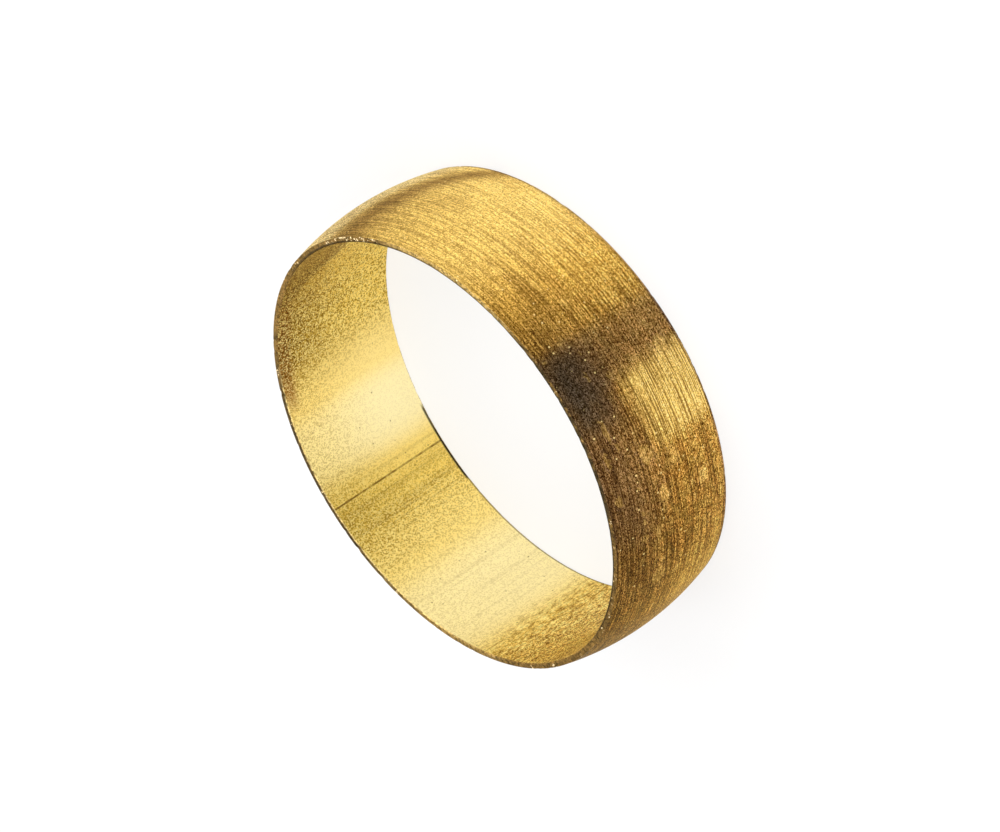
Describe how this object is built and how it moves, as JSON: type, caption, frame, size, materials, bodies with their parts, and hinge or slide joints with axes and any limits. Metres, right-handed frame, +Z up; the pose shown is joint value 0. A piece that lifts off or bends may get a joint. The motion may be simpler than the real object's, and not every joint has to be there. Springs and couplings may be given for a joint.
{
  "type": "compression olive",
  "caption": "Barrel-shaped brass sealing ring with a plain bore, crowned outside and thin flat ends; squeezed between a fitting's body and nut to grip and seal a tube.",
  "frame": {"origin": "centre of the end face that the olive stands on", "axes": "+Z up along the bore's axis, from the end it stands on to the other end; X and Y are equal"},
  "size_m": [0.03, 0.03, 0.0092],
  "materials": {
    "brass": "turned outside with fine rings and dull stains, drawn bore with fine lines along it"
  },
  "bodies": {
    "root": {"olive": "brass"}
  },
  "joints": []
}
